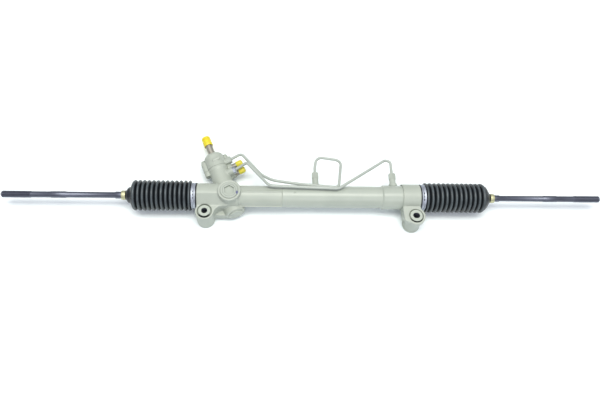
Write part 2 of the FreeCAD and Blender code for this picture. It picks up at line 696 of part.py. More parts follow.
def ball_joint(side, ball, outward):
    """Socket screwed into the rack end, plastic seat and forged tie rod."""
    way = RIGHT * outward
    centre = at(ball, 0, 0)
    depth, seat_outer = D["socket_depth"], D["ball_radius"] + 2.1
    face = centre - way * val(depth)
    cavity = seat_outer + GAP
    shell = turned(side + "_socket_turned", [
        (0, 0),
        (depth + 12, 0),
        (depth + 12, D["socket_radius"] - 3),
        (depth + 9, D["socket_radius"]),
        (1, D["socket_radius"]),
        (0, D["socket_radius"] - 1),
    ], face, way)
    stud = cylinder(side + "_socket_stud", 6.95, 20, face, -way)
    flats = []
    for sign in (-1, 1):
        corner = face + way * 3 + UP * (sign * 21 - 5) - REAR * 20
        if outward < 0:
            corner = corner - RIGHT * 10
        flats.append(box("%s_socket_flat_%s" % (side, "low" if sign < 0 else "high"), 10, 40, 10, corner, 0))
    tools = [
        sphere(side + "_socket_cavity", cavity, centre),
        cone(side + "_socket_mouth", 11.0, 12.9, 4, centre + way * 9.2, way),
    ]
    keep(side + "_ball_socket", cut(side + "_ball_socket", fuse(side + "_socket_body", [shell, stud]), tools + flats))
    zone = cylinder(side + "_seat_zone", seat_outer + 1, 15.5, centre - way * 10.5, way)
    bowl = common(side + "_seat_bowl", [sphere(side + "_seat_outer", seat_outer, centre), zone])
    inner_ball = sphere(side + "_seat_inner", D["ball_radius"] + GAP, centre)
    keep(side + "_ball_seat", cut(side + "_ball_seat", bowl, [inner_ball]))
    length, thread = D["rod_length"], D["thread_length"]
    shank, thin = D["rod_radius"], D["rod_radius"] + 0.2
    rod = turned(side + "_rod_turned", [
        (0, 0),
        (length, 0),
        (length, D["thread_radius"] - 2.5),
        (length - 2.5, D["thread_radius"]),
        (length - thread, D["thread_radius"]),
        (length - thread - 1, thin),
        (length - 96, thin),
        (length - 97, D["rod_radius"] + 0.7),
        (length - 126, D["rod_radius"] + 0.7),
        (length - 127, shank),
        (63.5, shank),
        (62, 7.2),
        (50.6, 7.2),
        (50.3, 6.5),
        (38, 6.5),
        (34, 5.5),
        (0, 5.5),
    ], centre, way)
    keep(side + "_tie_rod", fuse(side + "_tie_rod", [rod, sphere(side + "_rod_ball", D["ball_radius"], centre)]))
    clip = turned(side + "_small_clip", [
        (0, 8.65),
        (8, 8.65),
        (8, 9.3),
        (7.2, 9.6),
        (0.8, 9.6),
        (0, 9.3),
    ], centre + way * 42, way)
    keep(side + "_small_clip", clip)


# Bellows and their clamps


def bellows_outline(side):
    """Outer corners from the big cuff to the neck, as (distance out, radius)."""
    crest, valley = val(D["crest_radius"]), val(D["valley_radius"])
    neck = 44.0
    if side == "left":
        cuff, ball = val(LEFT_FACE), -val(BALL_LEFT)
        seat = val(D["tunnel_radius"]) - 1.9
        first, last, band = cuff + 14.4, ball + 22.2, seat + 1.7
        tail = [(ball + 29, 21.5), (ball + 31, 17.5), (ball + 36, 15.7), (ball + 39.5, 11)]
    else:
        cuff, ball = val(RIGHT_FACE), val(BALL_RIGHT)
        seat = val(D["sleeve_radius"]) - 0.3
        first, last, band = cuff + 14.4, ball + 19.6, seat + 2.2
        tail = [(ball + 25, 28.6), (ball + 31.5, 22.6), (ball + 36, 15.6), (ball + 39.3, 10.6)]
    count = 13
    pitch = (last - first) / (count - 1)
    outline = [(cuff, band + 0.9), (cuff + 2.3, band + 0.9), (cuff + 2.3, band), (cuff + 11.2, band)]
    for number in range(count):
        middle = first + number * pitch
        outline.append((middle - 0.8, crest))
        outline.append((middle + 0.8, crest))
        if number < count - 1:
            outline.append((middle + pitch / 2, valley))
    outline += tail
    outline += [(ball + neck - 2.2, 8.6), (ball + neck + 6, 8.6)]
    inner = [(ball + neck + 6, 6.55), (ball + neck - 3, 6.55)]
    wall = val(D["bellows_wall"])
    for distance, radius in reversed(outline[4:-2]):
        inner.append((distance, radius - wall * 1.35))
    spigot = val(D["spigot_length"])
    inner += [(cuff + spigot + 0.3, seat), (cuff, seat)]
    return outline, inner


def bellows(side, outward):
    outline, inner = bellows_outline(side)
    points = [at(outward * distance, 0, radius) for distance, radius in outline + inner]
    solid = polygon_face(points).revolve(at(0, 0, 0), RIGHT, 360)
    keep(side + "_bellows", feature(side + "_bellows", solid))
    cuff, band = outline[2][0], outline[2][1] + 0.1
    clamp = turned(side + "_large_clamp", [
        (0, band),
        (8.6, band),
        (8.6, band + 0.9),
        (5.6, band + 0.9),
        (5.2, band + 0.45),
        (3.4, band + 0.45),
        (3.0, band + 0.9),
        (0, band + 0.9),
    ], at(outward * (cuff + 0.1), 0, 0), RIGHT * outward)
    keep(side + "_large_clamp", clamp)


# Pinion, valve sleeve, torsion bar and input shaft


def involute_point(base, roll, turn):
    radius = base * math.sqrt(1 + roll * roll)
    angle = turn + roll - math.atan(roll)
    return radius, angle


def pinion_teeth():
    module, count = val(D["tooth_module"]), int(val(D["tooth_count"]))
    pressure = math.radians(val(D["pressure_angle"]))
    shift = val(D["profile_shift"])
    pitch_radius = val(PITCH_RADIUS)
    base = pitch_radius * math.cos(pressure)
    tip = pitch_radius + 1.1 * module
    root = pitch_radius + shift * module - 1.1 * module
    thickness = module * (math.pi / 2 + 2 * shift * math.tan(pressure))
    half_angle = thickness / (2 * pitch_radius) + math.tan(pressure) - pressure
    last_roll = math.sqrt((tip / base) ** 2 - 1)
    length = 30.0

    def point(radius, angle):
        return tower(-length / 2, radius * math.sin(angle), radius * math.cos(angle))

    tooth_step = 2 * math.pi / count
    edges = []
    for number in range(count):
        middle = number * tooth_step
        rising, falling = [], []
        for step in range(9):
            radius, angle = involute_point(base, last_roll * step / 8, -half_angle)
            rising.append(point(radius, middle + angle))
            falling.append(point(radius, middle - angle))
        falling.reverse()
        start = point(root, middle - half_angle)
        end = point(root, middle + half_angle)
        following = point(root, middle + tooth_step - half_angle)
        valley = point(root, middle + tooth_step / 2)
        flank_up, flank_down = Part.BSplineCurve(), Part.BSplineCurve()
        flank_up.interpolate(rising)
        flank_down.interpolate(falling)
        edges.append(Part.makeLine(start, rising[0]))
        edges.append(flank_up.toShape())
        edges.append(Part.Arc(rising[-1], point(tip, middle), falling[0]).toShape())
        edges.append(flank_down.toShape())
        edges.append(Part.makeLine(falling[-1], end))
        edges.append(Part.Arc(end, valley, following).toShape())
    return Part.Face(Part.Wire(edges)).extrude(ALONG * length)


def pinion_group():
    bar_hole = 3.2
    gear = feature("pinion_teeth", pinion_teeth())
    shaft = turned("pinion_shaft_turned", [
        (-31, 0),
        (52, 0),
        (52, 9.6),
        (44, 9.6),
        (44, 12.5),
        (40.5, 12.5),
        (40.5, 8.5),
        (14, 8.5),
        (14, 5.2),
        (-15, 5.2),
        (-15, 6),
        (-29, 6),
        (-31, 5),
    ], tower(0, 0, 0), ALONG)
    socket = cylinder("pinion_input_bore", 7, 12, tower(41, 0, 0), ALONG)
    hole = cylinder("pinion_bar_bore", bar_hole, 60, tower(-12, 0, 0), ALONG)
    keep("pinion_shaft", cut("pinion_shaft", fuse("pinion_solid", [gear, shaft]), [socket, hole]))
    sleeve_radius = D["valve_bore"] - GAP - 0.25
    keep("valve_sleeve", turned("valve_sleeve", [
        (44.2, 9.65),
        (94, 9.65),
        (94, sleeve_radius),
        (44.2, sleeve_radius),
    ], tower(0, 0, 0), ALONG))
    rings = []
    for number in range(4):
        rings.append(ring("valve_ring_%d" % number, D["valve_bore"] - GAP, sleeve_radius, 2,
                          tower(51 + 12 * number, 0, 0), ALONG))
    group = doc.addObject("Part::Compound", "valve_rings")
    group.Links = rings
    keep("valve_rings", group)
    keep("torsion_bar", turned("torsion_bar", [
        (-11, 0),
        (145, 0),
        (145, 3.1),
        (132, 3.1),
        (128, 2.6),
        (18, 2.6),
        (14, 3.15),
        (-11, 3.15),
    ], tower(0, 0, 0), ALONG))
    shaft = turned("input_shaft_turned", [
        (42, 3.2),
        (150, 3.2),
        (150, INPUT_RADIUS - 1),
        (149, INPUT_RADIUS),
        (96, INPUT_RADIUS),
        (96, 9.6),
        (53, 9.6),
        (53, 6.9),
        (42, 6.9),
    ], tower(0, 0, 0), ALONG)
    keep("input_shaft", shaft)
    keep("input_cap", turned("input_cap", [
        (0, INPUT_RADIUS),
        (15, INPUT_RADIUS),
        (15, 0),
        (22.5, 0),
        (22.5, 8.0),
        (21.2, 9.3),
        (0, 9.6),
    ], tower(136, 0, 0), ALONG))


def pinion_bearings():
    track, journal = 9.7, 6.0
    start = -28
    keep("lower_bearing_inner", ring("lower_bearing_inner", 8.2, journal, 9, tower(start, 0, 0), ALONG))
    keep("lower_bearing_outer", ring("lower_bearing_outer", 13.5, 11.3, 9, tower(start, 0, 0), ALONG))
    balls = []
    count = 9
    for number in range(count):
        angle = 2 * math.pi * number / count
        centre = tower(start + 4.5, track * math.cos(angle), track * math.sin(angle))
        balls.append(sphere("bearing_ball_%d" % number, 1.45, centre))
    group = doc.addObject("Part::Compound", "lower_bearing_balls")
    group.Links = balls
    keep("lower_bearing_balls", group)
    keep("pinion_bush", ring("pinion_bush", 13, 8.5 + GAP, 14, tower(18, 0, 0), ALONG))
    keep("pinion_seal", ring("pinion_seal", 13, 8.5 + GAP, 5, tower(33.5, 0, 0), ALONG))
    keep("input_bearing", ring("input_bearing", 12, INPUT_RADIUS + GAP, 7, tower(98, 0, 0), ALONG))
    keep("input_seal", turned("input_seal", [
        (0, INPUT_RADIUS + GAP),
        (3.5, INPUT_RADIUS + GAP),
        (3.5, 10.5),
        (2.5, 12),
        (0, 12),
    ], tower(107, 0, 0), ALONG))
    keep("pinion_cap", turned("pinion_cap", [
        (4.2, 0),
        (4.2, 7),
        (7.6, 7),
        (7.6, 13.5),
        (0, 13.5),
        (0, 15.2),
        (-1.8, 15.2),
        (-2.6, 14.2),
        (-2.6, 0),
    ], tower(-36, 0, 0), ALONG))


# Cylinder lines with their nuts, hose unions and caps


def bent_line(corners, bends):
    """A centreline of straight runs with a true arc at each inner corner."""
    edges = []
    here = corners[0]
    for number in range(1, len(corners) - 1):
        corner = corners[number]
        back = (corners[number - 1] - corner).normalize()
        ahead = (corners[number + 1] - corner).normalize()
        half = math.acos(max(-1.0, min(1.0, back.dot(ahead)))) / 2
        reach = bends[number - 1] / math.tan(half)
        begin, end = corner + back * reach, corner + ahead * reach
        inward = (back + ahead).normalize()
        centre = corner + inward * (bends[number - 1] / math.sin(half))
        middle = centre - inward * bends[number - 1]
        if here.distanceToPoint(begin) > 0.01:
            edges.append(Part.makeLine(here, begin))
        edges.append(Part.Arc(begin, middle, end).toShape())
        here = end
    edges.append(Part.makeLine(here, corners[-1]))
    return Part.Wire(edges)


def pipe(corners, bends):
    path = bent_line(corners, bends)
    start = corners[0]
    heading = (corners[1] - corners[0]).normalize()
    circle = Part.Wire(Part.makeCircle(val(D["pipe_radius"]), start, heading))
    return path.makePipeShell([circle], True, False)


def cylinder_lines():
    port_left, port_right = val(D["chamber_left"]), val(CHAMBER_RIGHT)
    pinion, neck_end = -val(PINION_OFFSET), -val(D["casting_end"])
    loop_top, port_rise = 92.0, 6.0
    line_left = [
        port_point("valve_line", LINE_FACE + 2),
        port_point("valve_line", LINE_FACE + 30.5),
        at(pinion + 65.5, 45, 10),
        at(pinion + 87.3, 28.6, 18),
        at(neck_end + 37, 18.2, 22),
        at(port_left + 46.5, 10, 25),
        at(port_left + 58, 84, port_rise),
        at(port_left + 4.5, loop_top, port_rise),
        at(port_left, 65, port_rise),
        at(port_left, 48, port_rise),
    ]
    keep("line_left", feature("line_left", pipe(line_left, [10, 50, 50, 70, 10, 14, 14, 20])))
    line_right = [
        port_point("tower_line", LINE_FACE + 2),
        port_point("tower_line", LINE_FACE + 16.5),
        at(pinion + 34.4, 72, 14),
        at(pinion + 65.6, 31.3, 24),
        at(pinion + 81, 10, 30.5),
        at(port_left + 45.5, 5, 30.5),
        at(port_right - 12, 86, port_rise),
        at(port_right, 83, port_rise),
        at(port_right, 48, port_rise),
    ]
    keep("line_right", feature("line_right", pipe(line_right, [20, 7, 40, 18, 18, 8, 8])))
    nuts = []
    for name, start, way, length in (
        ("valve", port_point("valve_line", LINE_FACE), LEAN, 12),
        ("tower", port_point("tower_line", LINE_FACE), LEAN, 12),
        ("chamber_left", at(port_left, 46, port_rise), REAR, 14.5),
        ("chamber_right", at(port_right, 46, port_rise), REAR, 14.5),
    ):
        solid = hexagon("line_nut_solid_" + name, 13.5, length, start, way)
        hole = cylinder("line_nut_hole_" + name, D["pipe_radius"], length + 2, start - way, way)
        nuts.append(cut("line_nut_" + name, solid, [hole]))
    group = doc.addObject("Part::Compound", "line_nuts")
    group.Links = nuts
    keep("line_nuts", group)


def hose_unions():
    outer = 5.9
    for name in ("feed", "return"):
        union = turned(name + "_union", [
            (0, 3.5),
            (18, 3.5),
            (18, outer),
            (0, outer),
        ], port_point(name, UNION_FACE), LEAN)
        keep(name + "_union", union)
        cap = turned(name + "_cap", [
            (0, outer),
            (8.2, outer),
            (8.2, 0),
            (13.5, 0),
            (13.5, 4.6),
            (11.8, 6.6),
            (0, 7.0),
        ], port_point(name, UNION_FACE + 9.8), LEAN)
        keep(name + "_cap", cap)


gear_housing()
valve_housing()
valve_bolts()
cylinder_tube()
tube_ports()
mount_bracket()
mounting_bushes()
yoke_group()
rack_bar()
piston_group()
rack_guides()
ball_joint("left", BALL_LEFT, -1)
ball_joint("right", BALL_RIGHT, 1)
bellows("left", -1)
bellows("right", 1)
pinion_group()
pinion_bearings()
cylinder_lines()
hose_unions()

doc.recompute()

problems = []
for thing in doc.Objects:
    if "Invalid" in thing.State or "Error" in thing.State:
        problems.append(thing.Name + " " + str(thing.State))
for node, thing in NODES.items():
    if thing.Shape.isNull() or not thing.Shape.isValid():
        problems.append(node + " has no valid shape")
if problems:
    raise RuntimeError("; ".join(problems))

for node, thing in NODES.items():
    thing.Shape.exportStep("parts/%s.step" % node)
    print(node, round(thing.Shape.Volume), len(thing.Shape.Solids))
print(len(NODES), "sub-parts")
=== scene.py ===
import bmesh
import bpy
import json
import math
from mathutils import Matrix, Vector

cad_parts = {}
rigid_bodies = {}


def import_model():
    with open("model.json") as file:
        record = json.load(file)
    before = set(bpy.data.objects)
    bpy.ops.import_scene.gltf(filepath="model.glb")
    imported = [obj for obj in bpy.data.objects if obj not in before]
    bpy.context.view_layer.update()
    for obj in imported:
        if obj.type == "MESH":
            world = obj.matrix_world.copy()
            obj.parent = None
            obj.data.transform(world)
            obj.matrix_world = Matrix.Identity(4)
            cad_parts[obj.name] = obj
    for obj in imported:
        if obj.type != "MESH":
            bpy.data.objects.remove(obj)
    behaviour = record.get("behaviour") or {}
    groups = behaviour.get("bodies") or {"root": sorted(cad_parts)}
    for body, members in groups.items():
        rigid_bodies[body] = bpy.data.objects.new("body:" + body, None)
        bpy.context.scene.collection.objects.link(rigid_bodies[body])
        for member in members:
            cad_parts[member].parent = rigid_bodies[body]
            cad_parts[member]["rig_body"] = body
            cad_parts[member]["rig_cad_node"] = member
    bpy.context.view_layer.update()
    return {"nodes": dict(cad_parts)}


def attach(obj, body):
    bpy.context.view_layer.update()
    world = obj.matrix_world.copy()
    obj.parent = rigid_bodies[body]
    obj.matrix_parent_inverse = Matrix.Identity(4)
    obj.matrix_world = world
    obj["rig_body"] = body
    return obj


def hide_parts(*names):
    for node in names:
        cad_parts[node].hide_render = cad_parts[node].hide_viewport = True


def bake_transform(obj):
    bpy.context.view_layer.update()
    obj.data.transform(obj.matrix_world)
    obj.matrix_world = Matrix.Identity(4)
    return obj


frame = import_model()
nodes = frame["nodes"]
bpy.ops.object.select_all(action="DESELECT")
MM = 0.001

# Distances in mm: the pinion, the housing faces, the balls and the ports from the gear's middle

PINION_X = -168
LEFT_FACE, RIGHT_FACE = 234.0, 229.0
BALL_LEFT, BALL_RIGHT = 336.5, 343.5
PORT_LEFT, PORT_RIGHT = 10.5, 176.0

# Distances in mm on the valve tower: port faces from the pinion axis, ports as (along the tower, rise)

LINE_FACE, UNION_FACE = 29.5, 33.0
PORTS = {"valve_line": (83, 0), "tower_line": (54, 5), "feed": (68.5, -9), "return": (52.5, -11)}

# Places and directions in metres; the frame's origin is the foot of the left mounting bolt

RIGHT, REAR, UP = Vector((1, 0, 0)), Vector((0, 1, 0)), Vector((0, 0, 1))
RACK_Y, RACK_Z = 0.0375, 0.0385
BOLT_SPACING = 0.435
MIDDLE_X = BOLT_SPACING / 2
PINION_DROP = 0.0152
SKEW, TILT = math.radians(21.5), math.radians(20)
TOWER_FOOT = Vector((MIDDLE_X + PINION_X * MM, RACK_Y, RACK_Z - PINION_DROP))
TOWER_WAY = Vector((-math.sin(SKEW), math.cos(SKEW), 0))
TOWER_SIDE = Vector((math.cos(SKEW), math.sin(SKEW), 0))
PORT_WAY = TOWER_SIDE * math.cos(TILT) + UP * math.sin(TILT)

# Points closer than this are one point: on a new skin, and on a copied CAD mesh

SKIN_WELD, CAD_WELD = 0.00002, 0.000002


def at(x, y, z):
    """A place in mm from the rack axis midway between the mounting bolts."""
    return Vector((MIDDLE_X + x * MM, RACK_Y + y * MM, RACK_Z + z * MM))


def tower(along, across, rise):
    """A place in mm from the pinion axis under the rack."""
    return TOWER_FOOT + (TOWER_WAY * along + TOWER_SIDE * across + UP * rise) * MM


def port_point(port, distance):
    """A place in mm along one of the leaning ports of the valve tower."""
    along, rise = PORTS[port]
    return tower(along, 0, rise) + PORT_WAY * (distance * MM)


# Camera


def aim_camera():
    """The photo looks down steeply from the mounting side, the right end a little farther away."""
    focal_pixels, picture_pixels, rack_pixels_up = 547, 600, 3.3
    sensor_mm = 36
    distance = 1.1431
    elevation, yaw, roll = math.radians(65), math.radians(4.2), math.radians(0.5)
    ahead = Vector((0, math.cos(elevation), -math.sin(elevation)))
    up = Vector((0, math.sin(elevation), math.cos(elevation)))
    forward = ahead * math.cos(yaw) + RIGHT * math.sin(yaw)
    right = RIGHT * math.cos(yaw) - ahead * math.sin(yaw)
    tilt = Matrix.Rotation(roll, 3, forward)
    right, up = tilt.inverted() @ right, tilt.inverted() @ up
    centre = at(-22, 0, 0) - up * distance * rack_pixels_up / focal_pixels
    data = bpy.data.cameras.new("photo_camera")
    data.lens = focal_pixels / picture_pixels * sensor_mm
    data.clip_start = 0.05
    camera = bpy.data.objects.new("photo_camera", data)
    bpy.context.scene.collection.objects.link(camera)
    turn = Matrix((right, up, -forward)).transposed()
    camera.matrix_world = Matrix.Translation(centre - forward * distance) @ turn.to_4x4()
    bpy.context.scene.camera = camera


aim_camera()

# Shader helpers


def linear(colour):
    """A six-digit sRGB hex colour as linear red, green, blue, alpha."""
    parts = [int(colour[n:n + 2], 16) / 255 for n in (0, 2, 4)]
    return [p / 12.92 if p <= 0.04045 else ((p + 0.055) / 1.055) ** 2.4 for p in parts] + [1]


def add(tree, kind, inputs, **settings):
    """Adds one shader node; each input is a value or another node's output."""
    made = tree.nodes.new(kind)
    for name, value in settings.items():
        setattr(made, name, value)
    for name, value in inputs.items():
        socket = made.inputs[name]
        if isinstance(value, bpy.types.NodeSocket):
            tree.links.new(value, socket)
        else:
            socket.default_value = value
    return made


def start_material(name):
    """An empty material, its node tree and the place on the piece that its patterns read."""
    material = bpy.data.materials.new(name)
    material.use_nodes = True
    tree = material.node_tree
    tree.nodes.clear()
    place = add(tree, "ShaderNodeTexCoord", {}).outputs["Object"]
    return material, tree, place


def close_material(tree, shader):
    """Joins the finished shader to the material's surface."""
    add(tree, "ShaderNodeOutputMaterial", {"Surface": shader.outputs[0]})


def sprayed_paint(name, dark, light, grain_mm, depth_mm, rough_low, rough_high):
    """Paint sprayed over metal: slightly blotchy, with an eggshell gloss over the grain of the part."""
    material, tree, place = start_material(name)
    cloud = add(tree, "ShaderNodeTexNoise", {"Vector": place, "Scale": 1 / (45 * MM), "Detail": 3.0})
    colour = add(tree, "ShaderNodeMix", {
        "Factor": cloud.outputs["Fac"],
        "A": linear(dark),
        "B": linear(light),
    }, data_type="RGBA")
    patch = add(tree, "ShaderNodeTexNoise", {"Vector": place, "Scale": 1 / (12 * MM), "Detail": 4.0})
    rough = add(tree, "ShaderNodeMapRange", {
        "Value": patch.outputs["Fac"],
        "To Min": rough_low,
        "To Max": rough_high,
    })
    grain = add(tree, "ShaderNodeTexNoise", {"Vector": place, "Scale": 1 / (grain_mm * MM), "Detail": 3.0})
    bump = add(tree, "ShaderNodeBump", {
        "Height": grain.outputs["Fac"],
        "Strength": 1.0,
        "Distance": depth_mm * MM,
    })
    shader = add(tree, "ShaderNodeBsdfPrincipled", {
        "Base Color": colour.outputs["Result"],
        "Roughness": rough.outputs["Result"],
        "Normal": bump.outputs["Normal"],
        "Metallic": 0.0,
        "IOR": 1.5,
    })
    close_material(tree, shader)
    return material


def worked_metal(name, colour, rough_low, rough_high, grain_mm, depth_mm):
    """Bare or plated metal: its colour and a fine tool or tumbling texture."""
    material, tree, place = start_material(name)
    patch = add(tree, "ShaderNodeTexNoise", {"Vector": place, "Scale": 1 / (8 * MM), "Detail": 4.0})
    film = add(tree, "ShaderNodeMapRange", {"Value": patch.outputs["Fac"], "To Min": 0.85, "To Max": 1.15})
    shade = add(tree, "ShaderNodeHueSaturation", {"Color": linear(colour), "Value": film.outputs["Result"]})
    rough = add(tree, "ShaderNodeMapRange", {
        "Value": patch.outputs["Fac"],
        "To Min": rough_low,
        "To Max": rough_high,
    })
    grain = add(tree, "ShaderNodeTexNoise", {"Vector": place, "Scale": 1 / (grain_mm * MM), "Detail": 2.0})
    bump = add(tree, "ShaderNodeBump", {
        "Height": grain.outputs["Fac"],
        "Strength": 1.0,
        "Distance": depth_mm * MM,
    })
    shader = add(tree, "ShaderNodeBsdfPrincipled", {
        "Base Color": shade.outputs["Color"],
        "Roughness": rough.outputs["Result"],
        "Normal": bump.outputs["Normal"],
        "Metallic": 1.0,
    })
    close_material(tree, shader)
    return material


def moulded(name, dark, light, rough_low, rough_high, grain_mm, depth_mm, ior, soft=0.0):
    """Moulded rubber or plastic: a dull skin with faint flow marks, and light inside where it is soft."""
    soft_mm = 2
    material, tree, place = start_material(name)
    flow = add(tree, "ShaderNodeTexNoise", {"Vector": place, "Scale": 1 / (18 * MM), "Detail": 3.0})
    colour = add(tree, "ShaderNodeMix", {
        "Factor": flow.outputs["Fac"],
        "A": linear(dark),
        "B": linear(light),
    }, data_type="RGBA")
    rough = add(tree, "ShaderNodeMapRange", {
        "Value": flow.outputs["Fac"],
        "To Min": rough_low,
        "To Max": rough_high,
    })
    grain = add(tree, "ShaderNodeTexNoise", {"Vector": place, "Scale": 1 / (grain_mm * MM), "Detail": 2.0})
    bump = add(tree, "ShaderNodeBump", {
        "Height": grain.outputs["Fac"],
        "Strength": 1.0,
        "Distance": depth_mm * MM,
    })
    shader = add(tree, "ShaderNodeBsdfPrincipled", {
        "Base Color": colour.outputs["Result"],
        "Roughness": rough.outputs["Result"],
        "Normal": bump.outputs["Normal"],
        "IOR": ior,
        "Subsurface Weight": soft,
        "Subsurface Scale": soft_mm * MM,
    })
    close_material(tree, shader)
    return material


def folded_rubber(name, valley_shade_colour, crest_highlight_colour, valley_mm, crest_mm):
    """Chloroprene folds with painted shade and highlight: dark in the valleys, lighter grey on the crests in
    noisy patches, by radius from the rack axis.
    """
    crest_highlight_strength = 1.6
    material, tree, place = start_material(name)
    axis = add(tree, "ShaderNodeVectorMath", {0: place, 1: (0, RACK_Y, RACK_Z)}, operation="SUBTRACT")
    across = add(tree, "ShaderNodeVectorMath", {0: axis.outputs[0], 1: (0, 1, 1)}, operation="MULTIPLY")
    radius = add(tree, "ShaderNodeVectorMath", {0: across.outputs[0]}, operation="LENGTH")
    # Painted shade and highlight: the fold's radius from the rack axis darkens the valleys and lightens the
    # crests.
    height = add(tree, "ShaderNodeMapRange", {
        "Value": radius.outputs["Value"],
        "From Min": valley_mm * MM,
        "From Max": crest_mm * MM,
    })
    crest_patch_noise = add(tree, "ShaderNodeTexNoise", {"Vector": place, "Scale": 1 / (14 * MM), "Detail": 3.0})
    lit_crest_patches = add(tree, "ShaderNodeMath", {
        0: height.outputs["Result"],
        1: crest_patch_noise.outputs["Fac"],
    }, operation="MULTIPLY")
    share = add(tree, "ShaderNodeMath", {
        0: lit_crest_patches.outputs[0],
        1: crest_highlight_strength,
    }, operation="MULTIPLY", use_clamp=True)
    colour = add(tree, "ShaderNodeMix", {
        "Factor": share.outputs[0],
        "A": linear(valley_shade_colour),
        "B": linear(crest_highlight_colour),
    }, data_type="RGBA")
    grain = add(tree, "ShaderNodeTexNoise", {"Vector": place, "Scale": 1 / (1.0 * MM), "Detail": 2.0})
    bump = add(tree, "ShaderNodeBump", {
        "Height": grain.outputs["Fac"],
        "Strength": 1.0,
        "Distance": 0.02 * MM,
    })
    rough = add(tree, "ShaderNodeMapRange", {"Value": crest_patch_noise.outputs["Fac"], "To Min": 0.36, "To Max": 0.5})
    shader = add(tree, "ShaderNodeBsdfPrincipled", {
        "Base Color": colour.outputs["Result"],
        "Roughness": rough.outputs["Result"],
        "Normal": bump.outputs["Normal"],
        "IOR": 1.52,
    })
    close_material(tree, shader)
    return material


def part_sprayed(name, axis, low_mm, high_mm, under_colour, rough_under, paint, rough_paint):
    """Spray that came from one side: the under colour below one level, paint above the other, speckled
    between; the under colour is bare rubber on the bushes and painted shade down the sleeves' bolt holes.
    """
    dark, light = paint
    material, tree, place = start_material(name)
    level = add(tree, "ShaderNodeSeparateXYZ", {"Vector": place}).outputs[axis]
    edge = add(tree, "ShaderNodeMapRange", {
        "Value": level,
        "From Min": low_mm * MM,
        "From Max": high_mm * MM,
    })
    speck = add(tree, "ShaderNodeTexNoise", {"Vector": place, "Scale": 1 / (2.5 * MM), "Detail": 4.0})
    ragged = add(tree, "ShaderNodeMapRange", {"Value": speck.outputs["Fac"], "To Min": -0.5, "To Max": 0.5})
    share = add(tree, "ShaderNodeMath", {
        0: edge.outputs["Result"],
        1: ragged.outputs["Result"],
    }, operation="ADD", use_clamp=True)
    cloud = add(tree, "ShaderNodeTexNoise", {"Vector": place, "Scale": 1 / (20 * MM), "Detail": 3.0})
    spray = add(tree, "ShaderNodeMix", {
        "Factor": cloud.outputs["Fac"],
        "A": linear(dark),
        "B": linear(light),
    }, data_type="RGBA")
    # Below the low level the under colour: bare rubber on the bushes, painted shade in the sleeves' bolt
    # holes.
    colour = add(tree, "ShaderNodeMix", {
        "Factor": share.outputs[0],
        "A": linear(under_colour),
        "B": spray.outputs["Result"],
    }, data_type="RGBA")
    rough = add(tree, "ShaderNodeMapRange", {
        "Value": share.outputs[0],
        "To Min": rough_under,
        "To Max": rough_paint,
    })
    bump = add(tree, "ShaderNodeBump", {
        "Height": speck.outputs["Fac"],
        "Strength": 1.0,
        "Distance": 0.02 * MM,
    })
    shader = add(tree, "ShaderNodeBsdfPrincipled", {
        "Base Color": colour.outputs["Result"],
        "Roughness": rough.outputs["Result"],
        "Normal": bump.outputs["Normal"],
        "IOR": 1.5,
    })
    close_material(tree, shader)
    return material


# Finishes of the real parts

PAINT_SHADES, FLANGE_SHADES = ("999f96", "aab0a5"), ("9ca398", "adb4a9")

# Sand-cast aluminium under silver-grey paint: a pebbled skin about 1 mm across.
cast_paint = sprayed_paint("painted_sand_cast_aluminium", *PAINT_SHADES, 1.1, 0.12, 0.32, 0.46)
# Drawn steel tube under the same paint: smoother, so its highlight is a clean line.
tube_paint = sprayed_paint("painted_drawn_steel", "99a097", "a9afa5", 2.5, 0.02, 0.26, 0.36)
# Steel line tube under the same paint, glossier: a bright line between darker edges.
line_paint = sprayed_paint("painted_steel_line", "9ba29c", "acb2aa", 2.5, 0.01, 0.18, 0.26)
# Zinc-plated pressed steel: pale, blue-white and satin.
zinc_plate = worked_metal("zinc_plated_steel", "b3b8c2", 0.50, 0.62, 0.8, 0.01)
# Zinc plate with a yellow passivation film, on the small outer clips.
yellow_zinc = worked_metal("yellow_passivated_zinc", "bfbd9a", 0.48, 0.60, 0.8, 0.01)
# Turned steel kept under a dull preservative film: warm grey with a broad highlight.
turned_steel = worked_metal("turned_preserved_steel", "aaa69b", 0.46, 0.58, 0.5, 0.01)
# Ground and oiled bare steel of the inner gear: bright and sharp, out of sight.
ground_steel = worked_metal("ground_bearing_steel", "b5b5b2", 0.16, 0.28, 0.6, 0.004)
# Phosphated and oiled forged steel: dark grey with a bluish sheen.
black_steel = worked_metal("phosphated_forged_steel", "696c78", 0.34, 0.48, 0.7, 0.02)
# Cast bronze of the bearing bushes: a warm satin brown, out of sight at rest.
bronze = worked_metal("cast_bearing_bronze", "b88a50", 0.30, 0.42, 0.6, 0.01)
# Moulded chloroprene: slate black and a thin dull gloss, with painted shade in the valleys and a painted
# highlight on the crests.
bellows_rubber = folded_rubber("moulded_chloroprene_rubber", "11161a", "4b5357", 29.4, 31.3)
# Bonded natural rubber of the mounting bushes and seals, darker and duller.
bush_rubber = moulded("bonded_natural_rubber", "1e221f", "2a2f2b", 0.55, 0.70, 0.8, 0.04, 1.52)
# Moulded acetal of the seats and rings: milky white with a soft gloss, out of sight.
acetal = moulded("moulded_acetal", "d8d8cf", "e4e4dc", 0.32, 0.42, 0.8, 0.01, 1.48, 0.2)
# Dip-moulded soft vinyl of the input cap: deep yellow that light sinks into.
yellow_vinyl = moulded("dip_moulded_yellow_vinyl", "cebb17", "d8c925", 0.35, 0.48, 1.5, 0.02, 1.53, 0.25)
# Moulded polyethylene of the two hose caps: a paler yellow, waxy and duller.
yellow_plug = moulded("moulded_yellow_polyethylene", "c8ba34", "d2c742", 0.38, 0.50, 1.5, 0.02, 1.51, 0.25)
